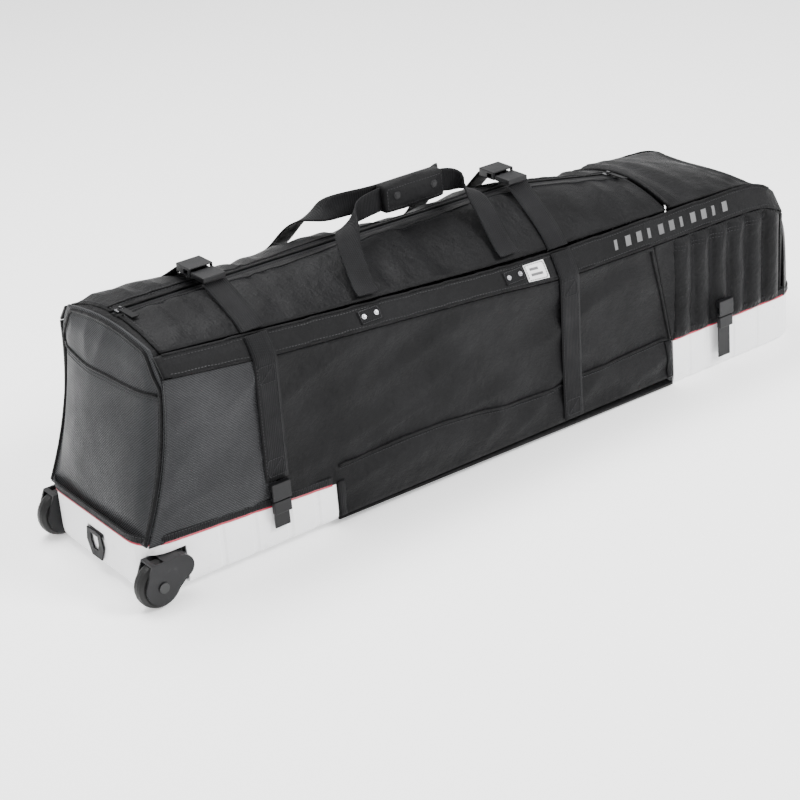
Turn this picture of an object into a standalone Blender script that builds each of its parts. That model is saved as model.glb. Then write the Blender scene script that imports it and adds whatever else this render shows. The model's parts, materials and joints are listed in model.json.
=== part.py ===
"""A wheeled golf travel case: two moulded trays, sewn fabric panels, a zipped top and webbing straps.

Metres, +Z up. +X runs from the wheel end to the club-head end, and the near side faces -Y.
"""

import math

import bmesh
import bpy
from mathutils import Matrix, Vector

# Driving dimensions.
LENGTH = 1.27
HALF_LENGTH = LENGTH / 2
HALF_WIDTH = 0.140
GAP = 0.0004
FABRIC = 0.003
WALL = 0.003
WEBBING = 0.0018
STRAP_WIDTH = 0.038

# Half of how much further the wheels reach than the head end.
CENTRING = 0.01075

# Trays: bottoms, rims and inner ends.
WHEEL_TRAY_BOTTOM = 0.0115
WHEEL_TRAY_END = -0.317
HEAD_TRAY_BOTTOM = 0.0
HEAD_TRAY_END = 0.350
HEAD_TRAY_RIM = 0.0805
PANEL_RISE = 0.0008
SEAM_GAP = 0.0032

# Lines along the case, as (x, z): the sewn edges of the shoulder band, and the ridge.
BAND_LOW = ((-0.575, 0.330), (-0.40, 0.308), (0.0, 0.276), (0.12, 0.262), (0.56, 0.258))
BAND_TOP = ((-0.575, 0.355), (-0.34, 0.333), (0.0, 0.306), (0.12, 0.299), (0.56, 0.294))
RIDGE = ((-0.60, 0.3783), (0.14, 0.371), (0.56, 0.293))
BAND_LOW_Y = 0.146
BAND_TOP_Y = 0.125

# The lids, their hinge lines and the zip between them.
LID_START = -0.560
LID_END = 0.360
HINGE_START = (-0.560, 0.357)
HINGE_END = (0.360, 0.299)
ZIP_HALF_WIDTH = 0.0155
LID_EDGE_Y = 0.0085

# Straps and handles.
WHEEL_STRAP_X = -0.416
MIDDLE_STRAP_X = 0.132
HEAD_STRAP_X = 0.452
HANDLE_LEGS_X = (-0.222, 0.038)
GRIP_X = (-0.118, 0.006)
GRIP_Z = 0.4215

# Wheels.
WHEEL_X = -0.6213
WHEEL_Y = 0.1425
WHEEL_RADIUS = 0.0352
WHEEL_WIDTH = 0.0235
HUB_RADIUS = 0.0240
BEARING_RADIUS = 0.0110
BEARING_WIDTH = 0.0070
AXLE_RADIUS = 0.0040

SIDES = (("near", -1), ("far", 1))

BLACK_FABRIC = ("black_polyester", (0.022, 0.022, 0.024), 0.75, 0.0)
GREY_FABRIC = ("grey_coated_twill", (0.105, 0.107, 0.110), 0.60, 0.0)
WEB = ("black_webbing", (0.018, 0.018, 0.019), 0.85, 0.0)
WHITE_SHELL = ("white_moulded_shell", (0.80, 0.80, 0.81), 0.38, 0.0)
BLACK_PLASTIC = ("black_plastic", (0.020, 0.020, 0.022), 0.42, 0.0)
TYRE_RUBBER = ("black_tyre", (0.015, 0.015, 0.016), 0.70, 0.0)
STEEL = ("plated_steel", (0.62, 0.62, 0.64), 0.30, 1.0)
COIL = ("grey_zip_coil", (0.10, 0.10, 0.105), 0.45, 0.0)


# ---------------------------------------------------------------- scene helpers

for old in list(bpy.data.objects):
    bpy.data.objects.remove(old, do_unlink=True)

PARTS = bpy.data.collections.new("golf_travel_case")
CUTTERS = bpy.data.collections.new("cutters")
bpy.context.scene.collection.children.link(PARTS)
bpy.context.scene.collection.children.link(CUTTERS)


def material(recipe):
    name, colour, roughness, metallic = recipe
    if name in bpy.data.materials:
        return bpy.data.materials[name]
    made = bpy.data.materials.new(name)
    made.use_nodes = True
    shader = made.node_tree.nodes["Principled BSDF"]
    shader.inputs["Base Color"].default_value = (*colour, 1.0)
    shader.inputs["Roughness"].default_value = roughness
    shader.inputs["Metallic"].default_value = metallic
    return made


def make_object(name, mesh_work, recipe, collection=PARTS):
    """An object from a bmesh, linked to its collection, with its own material."""
    bmesh.ops.recalc_face_normals(mesh_work, faces=mesh_work.faces)
    mesh = bpy.data.meshes.new(name)
    mesh_work.to_mesh(mesh)
    mesh_work.free()
    made = bpy.data.objects.new(name, mesh)
    collection.objects.link(made)
    if recipe:
        mesh.materials.append(material(recipe))
    return made


def bevelled(target, width, segments=2):
    bevel = target.modifiers.new("bevel", "BEVEL")
    bevel.width = width
    bevel.segments = segments
    bevel.limit_method = "ANGLE"
    bevel.angle_limit = math.radians(40)
    return target


def boolean(target, other, operation):
    step = target.modifiers.new(operation.lower(), "BOOLEAN")
    step.operation = operation
    step.object = other
    step.solver = "EXACT"
    other.hide_render = True
    other.display_type = "WIRE"
    return target


def block(name, low, high, recipe=None, collection=PARTS):
    """A box between two corners."""
    work = bmesh.new()
    bmesh.ops.create_cube(work, size=1.0)
    low = Vector(low)
    high = Vector(high)
    bmesh.ops.transform(
        work,
        matrix=Matrix.Translation((low + high) / 2) @ Matrix.Diagonal((*(high - low), 1.0)),
        verts=work.verts,
    )
    return make_object(name, work, recipe, collection)


def cutter_block(name, low, high):
    return block(name, low, high, None, CUTTERS)


def extruded(name, outline, thickness, place, recipe, collection=PARTS):
    """A flat outline in its own XY plane, thickened evenly about it, then placed."""
    work = bmesh.new()
    face = work.faces.new([work.verts.new((x, y, -thickness / 2)) for x, y in outline])
    top = bmesh.ops.extrude_face_region(work, geom=[face])
    moved = [item for item in top["geom"] if isinstance(item, bmesh.types.BMVert)]
    bmesh.ops.translate(work, vec=(0, 0, thickness), verts=moved)
    bmesh.ops.transform(work, matrix=place, verts=work.verts)
    return make_object(name, work, recipe, collection)


def turned(name, profile, centre, recipe, steps=32, collection=PARTS, solid=False):
    """A (radius, offset) profile turned about the Y axis through centre.

    A ring's profile is closed. A solid's profile runs from one flat end to the other.
    """
    work = bmesh.new()
    rings = []
    for step in range(steps):
        angle = 2 * math.pi * step / steps
        rings.append(
            [
                work.verts.new((radius * math.cos(angle), offset, radius * math.sin(angle)))
                for radius, offset in profile
            ]
        )
    count = len(profile) - 1 if solid else len(profile)
    for step in range(steps):
        here = rings[step]
        after = rings[(step + 1) % steps]
        for i in range(count):
            j = (i + 1) % len(profile)
            work.faces.new((here[i], here[j], after[j], after[i]))
    if solid:
        work.faces.new([ring[0] for ring in rings])
        work.faces.new([ring[-1] for ring in reversed(rings)])
    made = make_object(name, work, recipe, collection)
    made.location = centre
    return made


def panel(name, rows, thickness, recipe, inside=(0.0, 0.0, 0.18)):
    """A sewn panel: a skin through rows of points, thickened towards the inside of the case."""
    work = bmesh.new()
    grid = [[work.verts.new(point) for point in row] for row in rows]
    for above, below in zip(grid, grid[1:]):
        for i in range(len(above) - 1):
            work.faces.new((above[i], above[i + 1], below[i + 1], below[i]))
    bmesh.ops.recalc_face_normals(work, faces=work.faces)
    work.faces.ensure_lookup_table()
    middle = work.faces[len(work.faces) // 2]
    if middle.normal.dot(middle.calc_center_median() - Vector(inside)) < 0:
        bmesh.ops.reverse_faces(work, faces=work.faces)
    mesh = bpy.data.meshes.new(name)
    work.to_mesh(mesh)
    work.free()
    made = bpy.data.objects.new(name, mesh)
    PARTS.objects.link(made)
    mesh.materials.append(material(recipe))
    thick = made.modifiers.new("thickness", "SOLIDIFY")
    thick.thickness = thickness
    thick.offset = -1.0
    thick.use_even_offset = True
    thick.use_quality_normals = True
    return made


def smooth_path(points, pieces=6):
    """A Catmull-Rom curve through the points."""
    points = [Vector(point) for point in points]
    path = []
    for i in range(len(points) - 1):
        before = points[max(i - 1, 0)]
        start = points[i]
        end = points[i + 1]
        after = points[min(i + 2, len(points) - 1)]
        for step in range(pieces):
            t = step / pieces
            path.append(
                0.5
                * (
                    2 * start
                    + (end - before) * t
                    + (2 * before - 5 * start + 4 * end - after) * t**2
                    + (3 * start - before - 3 * end + after) * t**3
                )
            )
    path.append(points[-1])
    return path


def ribbon(name, path, across, width, thickness, recipe):
    """Webbing along a path. across gives the direction of its width at each point."""
    rows = []
    last = len(path) - 1
    for i, point in enumerate(path):
        forward = (path[min(i + 1, last)] - path[max(i - 1, 0)]).normalized()
        wide = across[i]
        wide = (wide - forward * wide.dot(forward)).normalized()
        rows.append([point - wide * width / 2, point, point + wide * width / 2])
    made = panel(name, rows, thickness, recipe)
    made.modifiers["thickness"].offset = 0.0
    return made


def strap(name, points, width, side, recipe=WEB):
    """Webbing that lies across the case: its width runs along X, its points are (x, y, z) on the +Y side."""
    path = smooth_path([(x, side * y, z) for x, y, z in points], 4)
    return ribbon(name, path, [Vector((1, 0, 0))] * len(path), width, WEBBING, recipe)


def along(x, line):
    """The height at x on a line of (x, z) points."""
    if x <= line[0][0]:
        return line[0][1]
    for (x0, z0), (x1, z1) in zip(line, line[1:]):
        if x <= x1:
            return z0 + (z1 - z0) * (x - x0) / (x1 - x0)
    return line[-1][1]


def spread(start, end, count):
    return [start + (end - start) * i / (count - 1) for i in range(count)]


# ---------------------------------------------------------------- shape of the case


def wheel_rim(x):
    """The wheel-end tray's rim falls a little towards the middle."""
    return 0.090 - (x + HALF_LENGTH) * 0.0566


def end_lean(z):
    """How far in from the wheel end the corner of the end panel stands at height z."""
    share = min(max((z - 0.09) / 0.24, 0.0), 1.0)
    return 0.003 + 0.058 * (1 - (1 - share) ** 2)


def dome(x):
    """The share of its full height that the head end keeps at x."""
    share = max((x - 0.50) / (HALF_LENGTH + 0.003 - 0.50), 0.0)
    return (1 - share**3) ** (1 / 3)


def corner_share(x):
    """The share of its full width that the head end keeps at x."""
    share = max((x - 0.585) / (HALF_LENGTH + 0.004 - 0.585), 0.0)
    return 1 - 0.24 * share**2.2


def domed(x, y, z):
    """A point of the straight case, drawn in by the dome of the head end."""
    base = HEAD_TRAY_RIM + PANEL_RISE
    return Vector((x, y * corner_share(x), base + (z - base) * dome(x)))


def roof_point(x, share, lift=0.0):
    """The roof from the band's upper edge (share 0) to the ridge (share 1), on the +Y side."""
    low = along(x, BAND_TOP)
    high = along(x, RIDGE)
    y = BAND_TOP_Y * (1 - share)
    z = low + (high - low) * math.sin(share * math.pi / 2) ** 0.85
    return domed(x, y, z + lift)


def side_rows(x_of, low_z, high_z_of, count_x, count_z, side):
    """Rows of points on a side of the case, from low_z up to the shoulder band."""
    rows = []
    for i in range(count_z):
        up = i / (count_z - 1)
        row = []
        for j in range(count_x):
            along_share = j / (count_x - 1)
            x = x_of(along_share, up)
            low = low_z(x)
            z = low + (high_z_of(x) - low) * up
            y = HALF_WIDTH + 0.001 + (BAND_LOW_Y - HALF_WIDTH - 0.001) * up
            point = domed(x, y, z)
            row.append((point.x, side * point.y, point.z))
        rows.append(row)
    return rows


# ---------------------------------------------------------------- trays


def tray_outline(start_x, end_x, inset, groove_xs, corner):
    """Half of a tray's plan, from its inner end on the +Y side round to the middle of its end wall."""
    toward_end = 1 if end_x > start_x else -1
    outer_x = end_x - toward_end * inset
    half = HALF_WIDTH - inset
    points = [(start_x, half)]
    for groove in groove_xs:
        for offset, depth in ((-0.006, 0.0), (-0.0025, 0.0016), (0.0025, 0.0016), (0.006, 0.0)):
            points.append((groove + toward_end * offset, half - depth))
    radius = corner - inset
    centre = (outer_x - toward_end * radius, half - radius)
    for step in range(7):
        angle = math.pi / 2 * step / 6
        points.append(
            (centre[0] + toward_end * radius * math.sin(angle), centre[1] + radius * math.cos(angle))
        )
    points.append((outer_x, 0.045))
    points.append((outer_x, 0.0))
    return points


def tray(name, start_x, end_x, bottom, rim_of, groove_xs, corner):
    """A moulded tray: end wall, two side walls and floor, open at the top and at its inner end."""
    levels = []
    for inset, height in ((0.011, 0.0), (0.0045, 0.0025), (0.0012, 0.008), (0.0, 0.016), (0.0, None)):
        half = tray_outline(start_x, end_x, inset, groove_xs, corner)
        whole = half + [(x, -y) for x, y in reversed(half[:-1])]
        levels.append(
            [(x, y, rim_of(x) if height is None else bottom + height) for x, y in whole]
        )
    work = bmesh.new()
    grid = [[work.verts.new(point) for point in level] for level in levels]
    for lower, upper in zip(grid, grid[1:]):
        for i in range(len(lower) - 1):
            work.faces.new((lower[i], lower[i + 1], upper[i + 1], upper[i]))
    floor = grid[0]
    last = len(floor) - 1
    middle = last // 2
    for i in range(middle - 3):
        work.faces.new((floor[i], floor[i + 1], floor[last - i - 1], floor[last - i]))
    work.faces.new(floor[middle - 3 : middle + 4])
    bmesh.ops.recalc_face_normals(work, faces=work.faces)
    work.faces.ensure_lookup_table()
    if work.faces[-1].normal.z > 0:
        bmesh.ops.reverse_faces(work, faces=work.faces)
    mesh = bpy.data.meshes.new(name)
    work.to_mesh(mesh)
    work.free()
    made = bpy.data.objects.new(name, mesh)
    PARTS.objects.link(made)
    mesh.materials.append(material(WHITE_SHELL))
    thick = made.modifiers.new("wall", "SOLIDIFY")
    thick.thickness = WALL
    thick.offset = -1.0
    thick.use_even_offset = True
    return made


def build_trays():
    wheel_tray = tray(
        "wheel_end_tray", WHEEL_TRAY_END, -HALF_LENGTH, WHEEL_TRAY_BOTTOM, wheel_rim,
        (-0.352, -0.400, -0.458, -0.512), 0.040,
    )
    for side_name, side in SIDES:
        corner = cutter_block(
            f"housing_recess_{side_name}",
            (-HALF_LENGTH - 0.02, min(side * 0.1262, side * 0.16), -0.01),
            (-0.5695, max(side * 0.1262, side * 0.16), 0.0735),
        )
        boolean(wheel_tray, corner, "DIFFERENCE")
    slot = cutter_block("end_handle_slot", (-0.65, -0.024, 0.058), (-0.60, 0.024, 0.069))
    boolean(wheel_tray, slot, "DIFFERENCE")
    tray(
        "head_end_tray", HEAD_TRAY_END, HALF_LENGTH, HEAD_TRAY_BOTTOM, lambda x: HEAD_TRAY_RIM,
        (0.385, 0.425, 0.485, 0.540), 0.040,
    )


# ---------------------------------------------------------------- fabric body


def head_edge(z):
    """The slanted seam between the middle and the head end, at height z."""
    return 0.3460 - 0.22 * max(z - 0.085, 0.0)


def middle_x(stations, share, up):
    """A column of the middle side, which the slanted seam cuts short."""
    height = 0.0185 + 0.236 * up
    return min(stations[round(share * (len(stations) - 1))], head_edge(height) - 0.0005)


def quilting(x, up):
    """How far the head end's padded channels stand out, six of them side by side."""
    share = (x - 0.352) / (0.592 - 0.352)
    if not 0 < share < 1 or up < 0.04 or up > 0.93:
        return 0.0
    return 0.0065 * abs(math.sin(6 * math.pi * share)) ** 0.7


def build_fabric():
    for side_name, side in SIDES:
        panel(
            f"wheel_end_side_{side_name}",
            side_rows(
                lambda share, up: spread(
                    -HALF_LENGTH + 0.0010 + end_lean(0.1 + 0.23 * up), WHEEL_STRAP_X - 0.001, 9
                )[round(share * 8)],
                lambda x: wheel_rim(x) + PANEL_RISE,
                lambda x: along(x, BAND_LOW) - SEAM_GAP,
                9, 7, side,
            ),
            FABRIC, GREY_FABRIC,
        )
        tray_edge = WHEEL_TRAY_END + 0.0002
        stations = [WHEEL_STRAP_X + GAP, -0.366, tray_edge, tray_edge + 0.001, -0.25, -0.13, 0.0, 0.06]
        stations += [0.12, 0.19, 0.24, 0.30, 0.3460]
        panel(
            f"middle_side_{side_name}",
            side_rows(
                lambda share, up: middle_x(stations, share, up),
                lambda x: wheel_rim(x) + PANEL_RISE if x < tray_edge + 0.0005 else 0.0185,
                lambda x: along(x, BAND_LOW) - SEAM_GAP,
                len(stations), 6, side,
            ),
            FABRIC, BLACK_FABRIC,
        )
        rows = []
        for up in (0.0, 0.04, 0.10, 0.3, 0.5, 0.7, 0.87, 0.93, 1.0):
            row = []
            start = head_edge(0.0813 + 0.174 * up) + 0.0005
            for x in [start] + spread(0.352, 0.592, 37) + [0.598]:
                low = HEAD_TRAY_RIM + PANEL_RISE
                z = low + (along(x, BAND_LOW) - SEAM_GAP - low) * up
                y = HALF_WIDTH + 0.001 + (BAND_LOW_Y - HALF_WIDTH - 0.001) * up + quilting(x, up)
                point = domed(max(x, start), y, z)
                row.append((point.x, side * point.y, point.z))
            rows.append(row)
        panel(f"head_end_side_{side_name}", rows, FABRIC, BLACK_FABRIC)
        band_xs = spread(-HALF_LENGTH + 0.0018 + end_lean(0.33), -0.47, 3) + [-0.45, -0.40, -0.357, -0.29]
        band_xs += [-0.25, -0.20, -0.113, -0.058, 0.0, 0.03, 0.065, 0.105, 0.16, 0.21, 0.30, 0.40, 0.50]
        band_xs += spread(0.516, 0.598, 6)
        rows = []
        for share in (0.0, 1.0):
            row = []
            for x in band_xs:
                z = along(x, BAND_LOW) * (1 - share) + along(x, BAND_TOP) * share
                y = BAND_LOW_Y + (BAND_TOP_Y - BAND_LOW_Y) * share
                point = domed(x, y, z)
                row.append((point.x, side * point.y, point.z))
            rows.append(row)
        panel(f"shoulder_band_{side_name}", rows, FABRIC, WEB)
    floor_xs = spread(WHEEL_TRAY_END + 0.0012, HEAD_TRAY_END - 0.0012, 5)
    panel(
        "base_panel",
        [[(x, y, 0.0125 - 0.010 * (x - WHEEL_TRAY_END) / 0.667) for x in floor_xs]
         for y in spread(-HALF_WIDTH + 0.0015, HALF_WIDTH - 0.0015, 5)],
        0.004, BLACK_FABRIC,
    )


def build_end_panels():
    rows = []
    for z_share in spread(0.0, 1.0, 8):
        row = []
        for y_share in spread(-1.0, 1.0, 11):
            half = BAND_LOW_Y - FABRIC - 0.0015
            y = y_share * (half - 0.004 * (1 - z_share))
            top = 0.3550 + 0.018 * math.cos(y_share * math.pi / 2)
            if abs(y) > BAND_TOP_Y - 0.008:
                top -= (abs(y) - BAND_TOP_Y + 0.008) * 1.25
            low = wheel_rim(-HALF_LENGTH) + 2 * PANEL_RISE
            z = low + (top - low) * z_share
            bulge = 0.010 * math.cos(y_share * math.pi / 2) * math.sin(math.pi * min(z_share * 0.9 + 0.1, 1.0))
            row.append((-HALF_LENGTH + 0.0018 + end_lean(z) - bulge, y, z))
        rows.append(row)
    panel("wheel_end_panel", rows, FABRIC, GREY_FABRIC, inside=(0.0, 0.0, 0.2))
    rows = []
    for x in spread(0.6030, HALF_LENGTH - 0.0015, 5):
        row = []
        for share in spread(-1.0, 1.0, 19):
            angle = share * math.pi / 2
            side = math.copysign(1.0, share)
            y = side * abs(math.sin(angle)) ** 0.62 * BAND_LOW_Y
            full = along(x, RIDGE)
            z = 0.2 + (full - 0.2) * math.cos(angle) ** 0.7 if abs(share) < 0.85 else None
            if z is None:
                z = 0.2 + (full - 0.2) * math.cos(0.85 * math.pi / 2) ** 0.7
                z -= (abs(share) - 0.85) / 0.15 * (z - HEAD_TRAY_RIM - PANEL_RISE)
                y = side * BAND_LOW_Y
            base = HEAD_TRAY_RIM + PANEL_RISE
            row.append((x, y * corner_share(x), base + (z - base) * dome(x)))
        rows.append(row)
    end_x = HALF_LENGTH - 0.0015
    tip = [Vector(point) for point in rows[-1]]
    centre = Vector((end_x, 0.0, 0.12))
    base = HEAD_TRAY_RIM + PANEL_RISE
    for shrink in (0.75, 0.4):
        row = []
        for point in tip:
            inner = centre.lerp(point, shrink)
            row.append((end_x, inner.y, max(base, inner.z) if point.z > base + 1e-6 else base))
        rows.append(row)
    panel("head_end_panel", rows, FABRIC, BLACK_FABRIC, inside=(0.3, 0.0, 0.15))


def build_roof():
    for name, start, end, count in (
        ("head_end_roof", LID_END + 0.0085, 0.597, 9),
    ):
        rows = []
        for x in spread(start, end, count):
            shares = spread(0.045, 1.0, 7)
            left = [roof_point(x, share) for share in shares]
            row = [(p.x, -p.y, p.z) for p in left]
            row += [(p.x, p.y, p.z) for p in reversed(left[:-1])]
            rows.append(row)
        panel(name, rows, FABRIC, BLACK_FABRIC)
    for side_name, side in SIDES:
        rows = []
        for x in spread(LID_START, LID_END, 22):
            row = []
            for share in spread(0.03, 1 - LID_EDGE_Y / BAND_TOP_Y, 6):
                point = roof_point(x, share)
                row.append((point.x, side * point.y, point.z))
            rows.append(row)
        panel(f"lid_{side_name}", rows, FABRIC * 0.8, BLACK_FABRIC)
        rows = []
        for x in spread(LID_START, LID_END, 22):
            ridge = along(x, RIDGE)
            rows.append(
                [(x, side * 0.0004, ridge - 0.0034), (x, side * ZIP_HALF_WIDTH, ridge - 0.0042)]
            )
        tape = panel(f"zip_half_{side_name}", rows, 0.0010, COIL)
        coil_xs = spread(LID_START, LID_END, 22)
        work = bmesh.new()
        rings = []
        for x in coil_xs:
            ridge = along(x, RIDGE) - 0.0044
            rings.append(
                [
                    work.verts.new((x, side * y, ridge + z))
                    for y, z in ((0.0004, 0.0), (0.0026, 0.0), (0.0026, 0.0024), (0.0004, 0.0024))
                ]
            )
        for here, after in zip(rings, rings[1:]):
            for i in range(4):
                j = (i + 1) % 4
                work.faces.new((here[i], here[j], after[j], after[i]))
        work.faces.new(rings[0])
        work.faces.new(list(reversed(rings[-1])))
        coil = make_object(f"coil_{side_name}", work, None, CUTTERS)
        boolean(tape, coil, "UNION")


# ---------------------------------------------------------------- wheels


def build_wheels():
    half = WHEEL_WIDTH / 2
    for side_name, side in SIDES:
        centre = (WHEEL_X, side * WHEEL_Y, WHEEL_RADIUS)
        tyre = [
            (HUB_RADIUS + GAP, -half), (WHEEL_RADIUS - 0.006, -half), (WHEEL_RADIUS - 0.0015, -half * 0.62),
            (WHEEL_RADIUS, -half * 0.25), (WHEEL_RADIUS, half * 0.25), (WHEEL_RADIUS - 0.0015, half * 0.62),
            (WHEEL_RADIUS - 0.006, half), (HUB_RADIUS + GAP, half),
        ]
        turned(f"tyre_{side_name}", tyre, centre, TYRE_RUBBER, 48)
        pocket = BEARING_RADIUS + GAP
        depth = half - 0.001
        inner = depth - BEARING_WIDTH - 0.0004
        hub = [
            (pocket, -depth), (HUB_RADIUS, -depth), (HUB_RADIUS, depth), (pocket, depth),
            (pocket, inner), (0.0085, inner), (0.0085, -inner), (pocket, -inner),
        ]
        turned(f"wheel_hub_{side_name}", hub, centre, BLACK_PLASTIC, 32)
        bore = AXLE_RADIUS + 0.0003
        spacer = 0.0062
        bearings = [
            (bore, -depth), (BEARING_RADIUS, -depth), (BEARING_RADIUS, BEARING_WIDTH - depth),
            (spacer, BEARING_WIDTH - depth), (spacer, depth - BEARING_WIDTH),
            (BEARING_RADIUS, depth - BEARING_WIDTH), (BEARING_RADIUS, depth), (bore, depth),
        ]
        turned(f"bearings_{side_name}", bearings, centre, STEEL, 24)
        axle = [
            (AXLE_RADIUS, -side * 0.0158), (AXLE_RADIUS, side * 0.0170),
            (0.0078, side * 0.0170), (0.0078, side * 0.0190),
        ]
        turned(f"axle_bolt_{side_name}", axle, centre, STEEL, 24, PARTS, True)
        build_housing(side_name, side, centre)


def build_housing(side_name, side, centre):
    """A fork moulded in one with its mounting block. Its cheeks cover the hub and reach up under the rim."""
    outline = [(-0.0130, 0.0368)]
    root = Vector((0.034, 0.0190))
    for step in range(10):
        angle = math.radians(150 + 135 * step / 9)
        outline.append((0.0265 * math.cos(angle), 0.0265 * math.sin(angle)))
    for step in range(9):
        angle = math.radians(-75 + 165 * step / 8)
        outline.append((root.x + 0.0172 * math.cos(angle), root.y + 0.0178 * math.sin(angle)))
    place = Matrix.Translation((centre[0], side * 0.14275, centre[2])) @ Matrix.Rotation(math.pi / 2, 4, "X")
    housing = extruded(f"wheel_housing_{side_name}", outline, 0.0325, place, BLACK_PLASTIC)
    inner_y = side * (WHEEL_Y - WHEEL_WIDTH / 2 - 0.0012)
    outer_y = side * (WHEEL_Y + WHEEL_WIDTH / 2 + 0.0012)
    for cutter_name, radius, low, high in (
        ("wheel_clearance", WHEEL_RADIUS + 0.0022, inner_y, outer_y),
        ("axle_hole", AXLE_RADIUS + 0.0003, side * 0.12, side * 0.17),
    ):
        cutter = turned(
            f"{cutter_name}_{side_name}", [(radius, low), (radius, high)],
            (centre[0], 0.0, centre[2]), None, 40, CUTTERS, True,
        )
        boolean(housing, cutter, "DIFFERENCE")


# ---------------------------------------------------------------- straps and buckles


def buckle_outline(width, prong_end, base_start):
    """A side-release plug from above: a base, two side prongs and a guide, along +Y."""
    half = width / 2
    side = half - 0.0035
    return [
        (-half + 0.001, base_start), (half - 0.001, base_start), (half - 0.001, 0.0), (side, 0.0),
        (side, prong_end - 0.004), (side - 0.0035, prong_end), (side - 0.0065, prong_end - 0.002),
        (side - 0.0065, 0.002), (0.003, 0.002), (0.003, prong_end - 0.003), (-0.003, prong_end - 0.003),
        (-0.003, 0.002), (-side + 0.0065, 0.002), (-side + 0.0065, prong_end - 0.002),
        (-side + 0.0035, prong_end), (-side, prong_end - 0.004), (-side, 0.0), (-half + 0.001, 0.0),
    ]


def plug(name, width, base_length, prong_end, place):
    """The buckle's plug: prongs in one moulding with a thicker base."""
    made = extruded(name, buckle_outline(width, prong_end, -base_length), 0.003, place, BLACK_PLASTIC)
    base = block(
        f"{name}_base", (-width / 2 + 0.0005, -base_length - 0.0005, -0.004),
        (width / 2 - 0.0005, -0.0012, 0.004), None, CUTTERS,
    )
    bevelled(base, 0.0012)
    base.data.transform(place)
    boolean(made, base, "UNION")
    return made


def socket(name, width, length, prong_end, rise, place):
    """The buckle's socket: a flat box, open at its mouth and both sides. rise is the room over the prongs."""
    half = width / 2
    made = block(name, (-half, 0.0008, -0.0042), (half, length, 0.0042 + rise), BLACK_PLASTIC)
    bevelled(made, 0.0010)
    made.data.transform(place)
    cavity = cutter_block(
        f"{name}_cavity",
        (-half + 0.0025, -0.005, -0.0022),
        (half - 0.0025, prong_end + 0.003, 0.0022 + rise),
    )
    windows = cutter_block(
        f"{name}_windows",
        (-half - 0.005, 0.006, -0.0022),
        (half + 0.005, prong_end + 0.001, 0.0022 + rise * 0.6),
    )
    for cutter in (cavity, windows):
        cutter.data.transform(place)
        boolean(made, cutter, "DIFFERENCE")
    return made


BUCKLE_RISE = 0.0195
TOP_PRONG = 0.0165
TRAY_PRONG = 0.0160
TRAY_BUCKLE_WIDTH = 0.030


def side_height(z, x):
    """How far out the skin of the side stands at height z."""
    low = along(x, BAND_LOW)
    if z <= low:
        return HALF_WIDTH + 0.001 + (BAND_LOW_Y - HALF_WIDTH - 0.001) * max(z - 0.09, 0.0) / (low - 0.09)
    share = min((z - low) / (along(x, BAND_TOP) - low), 1.0)
    return BAND_LOW_Y + (BAND_TOP_Y - BAND_LOW_Y) * share


def build_side_straps():
    for side_name, side in SIDES:
        for name, x, low in (("wheel_end", WHEEL_STRAP_X, 0.1185), ("middle", MIDDLE_STRAP_X, 0.0200)):
            band_low = along(x, BAND_LOW)
            band_top = along(x, BAND_TOP)
            middle = (low + band_low) / 2
            heights = [low, low + 0.05, middle, band_low - 0.02, band_low + 0.004, band_top - 0.002]
            points = [(x, side_height(z, x) + 0.0030, z + 0.0012) for z in heights]
            strap(f"{name}_side_strap_{side_name}", points, STRAP_WIDTH, side)


def build_top_straps():
    for name, x in (("wheel_end", WHEEL_STRAP_X), ("middle", MIDDLE_STRAP_X)):
        height = along(x, RIDGE) + BUCKLE_RISE
        top = along(x, BAND_TOP)
        foot = top + 0.0045
        near = [
            (x, 0.1245, foot), (x, 0.105, roof_point(x, 0.16).z + 0.0065),
            (x, 0.075, roof_point(x, 0.40).z + 0.0080), (x, 0.0330, height - 0.0066),
        ]
        strap(f"{name}_top_strap_near", near, STRAP_WIDTH, -1)
        far = [
            (x, 0.1245, foot), (x, 0.105, roof_point(x, 0.16).z + 0.0065),
            (x, 0.075, roof_point(x, 0.40).z + 0.0110), (x, 0.0370, height + 0.0010),
        ]
        strap(f"{name}_top_strap_far", far, STRAP_WIDTH, 1)
        place = Matrix.Translation((x, -0.0022, height))
        plug(f"{name}_top_plug", STRAP_WIDTH, 0.034, TOP_PRONG, place)
        socket(f"{name}_top_socket", STRAP_WIDTH + 0.001, 0.0375, TOP_PRONG, 0.0046, place)


def build_tray_straps():
    for side_name, side in SIDES:
        for name, x, mouth, out, foot in (
            ("wheel_end", WHEEL_STRAP_X, 0.0900, 0.1492, 0.0460),
            ("head_end", HEAD_STRAP_X, 0.0985, 0.1555, 0.0250),
        ):
            turn = Matrix.Rotation(math.pi / 2, 4, "X")
            if side > 0:
                turn = Matrix.Rotation(math.pi, 4, "Z") @ turn
            place = Matrix.Translation((x, side * out, mouth)) @ turn
            tongue = plug(f"{name}_tray_plug_{side_name}", TRAY_BUCKLE_WIDTH, 0.020, TRAY_PRONG, place)
            tail = cutter_block(
                f"{name}_tail_{side_name}",
                (x - 0.0125, min(side * (out - 0.0042), side * (out - 0.0020)), foot),
                (x + 0.0125, max(side * (out - 0.0042), side * (out - 0.0020)), mouth - 0.012),
            )
            boolean(tongue, tail, "UNION")
            socket(f"{name}_tray_socket_{side_name}", TRAY_BUCKLE_WIDTH + 0.001, 0.0275, TRAY_PRONG, 0.0006, place)


# ---------------------------------------------------------------- handles


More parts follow.
